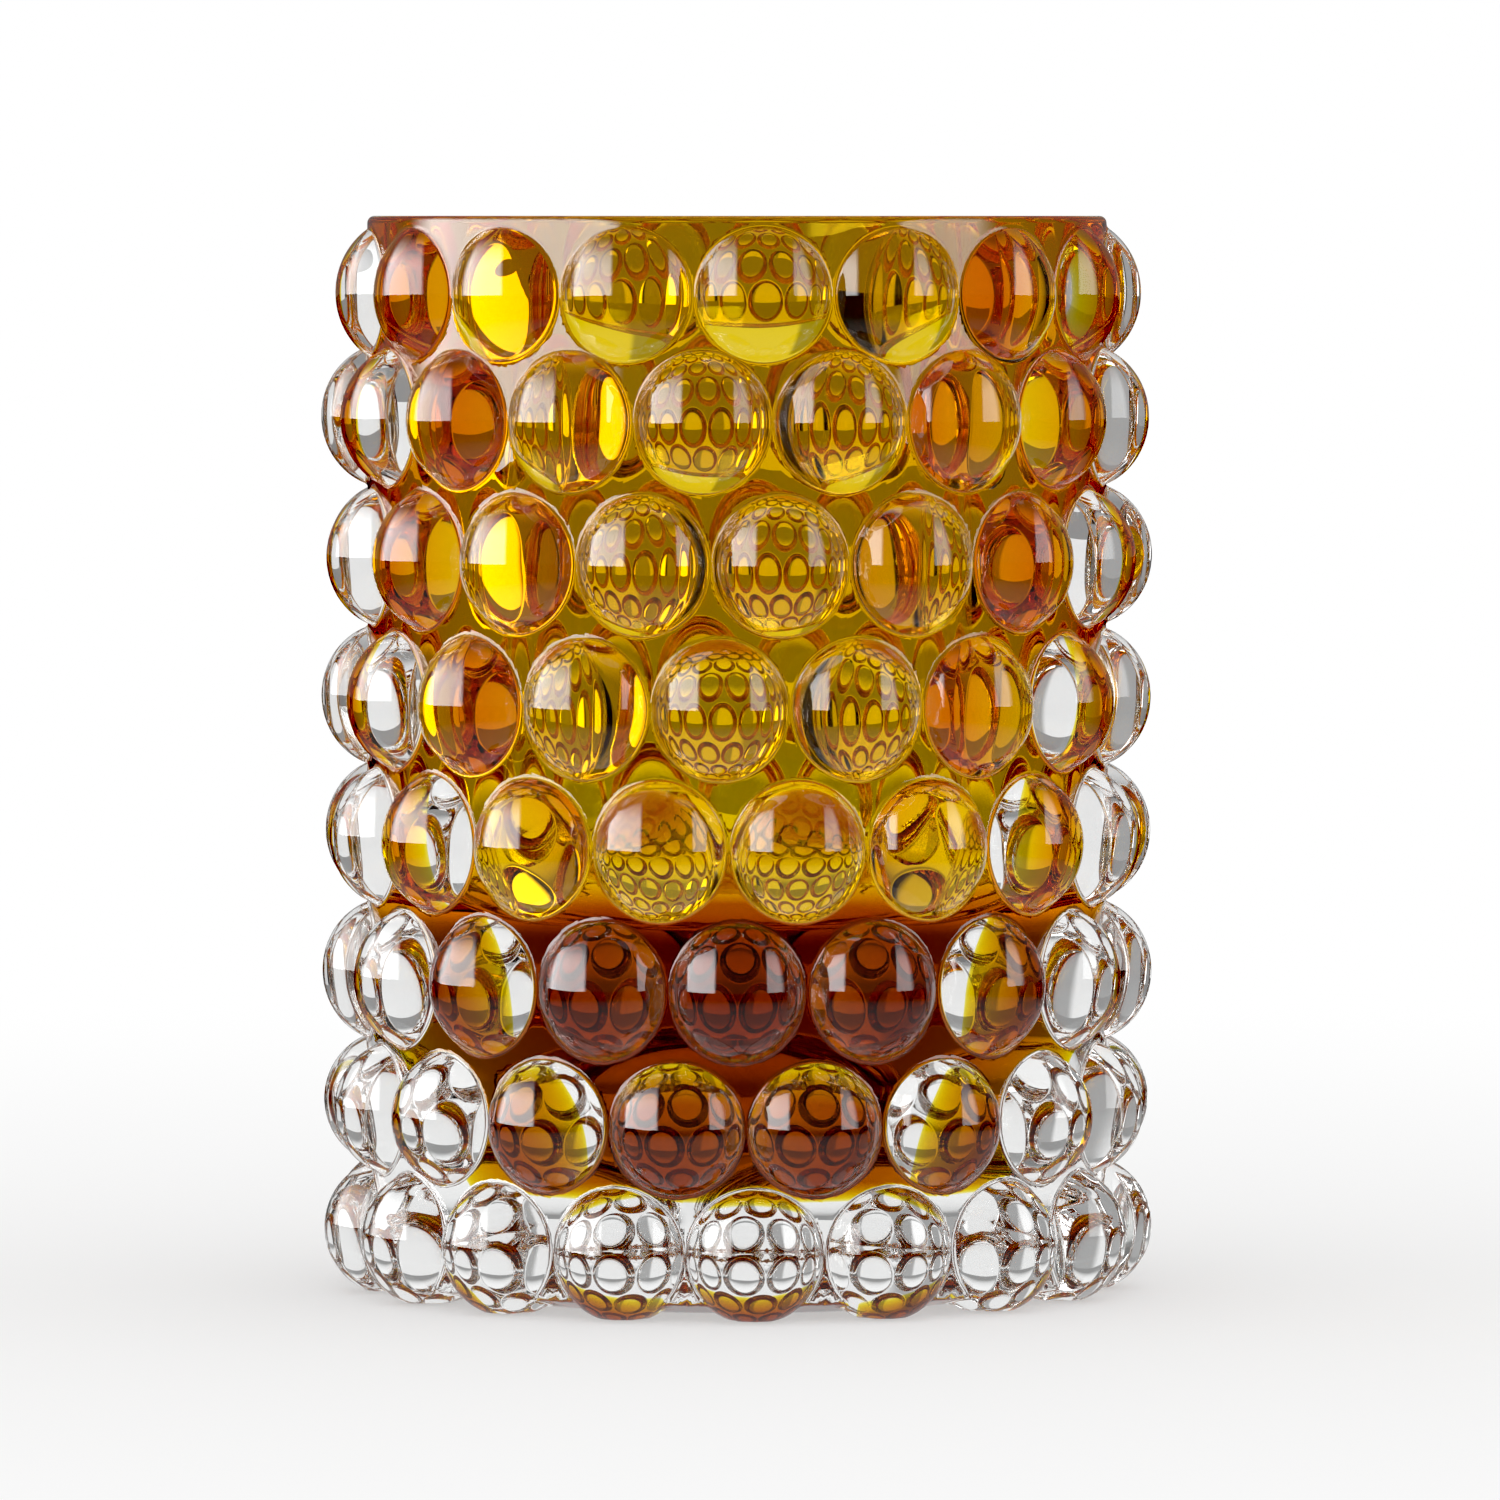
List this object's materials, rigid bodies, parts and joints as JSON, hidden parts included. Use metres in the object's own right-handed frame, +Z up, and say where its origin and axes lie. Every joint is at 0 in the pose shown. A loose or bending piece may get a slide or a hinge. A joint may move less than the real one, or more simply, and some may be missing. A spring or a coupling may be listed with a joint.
{
  "type": "beaded glass vase",
  "caption": "Straight round vase of thick cased glass: a clear casing set all over with round beads, and an amber lining with a deep solid floor.",
  "frame": {"origin": "centre of the foot, on the plane that the vase stands on", "axes": "+Z up along the vase's axis, towards the open mouth; -Y is the side that faces the viewer"},
  "size_m": [0.1396, 0.1396, 0.18],
  "materials": {
    "clear_glass": "fire-polished clear glass",
    "amber_glass": "polished amber glass, yellow where thin and red-brown where deep"
  },
  "bodies": {
    "root": {"clear_casing": "clear_glass", "amber_lining": "amber_glass", "bead_row_1": "clear_glass", "bead_row_2": "clear_glass", "bead_row_3": "clear_glass", "bead_row_4": "clear_glass", "bead_row_5": "clear_glass", "bead_row_6": "clear_glass", "bead_row_7": "clear_glass", "bead_row_8": "clear_glass"}
  },
  "joints": []
}
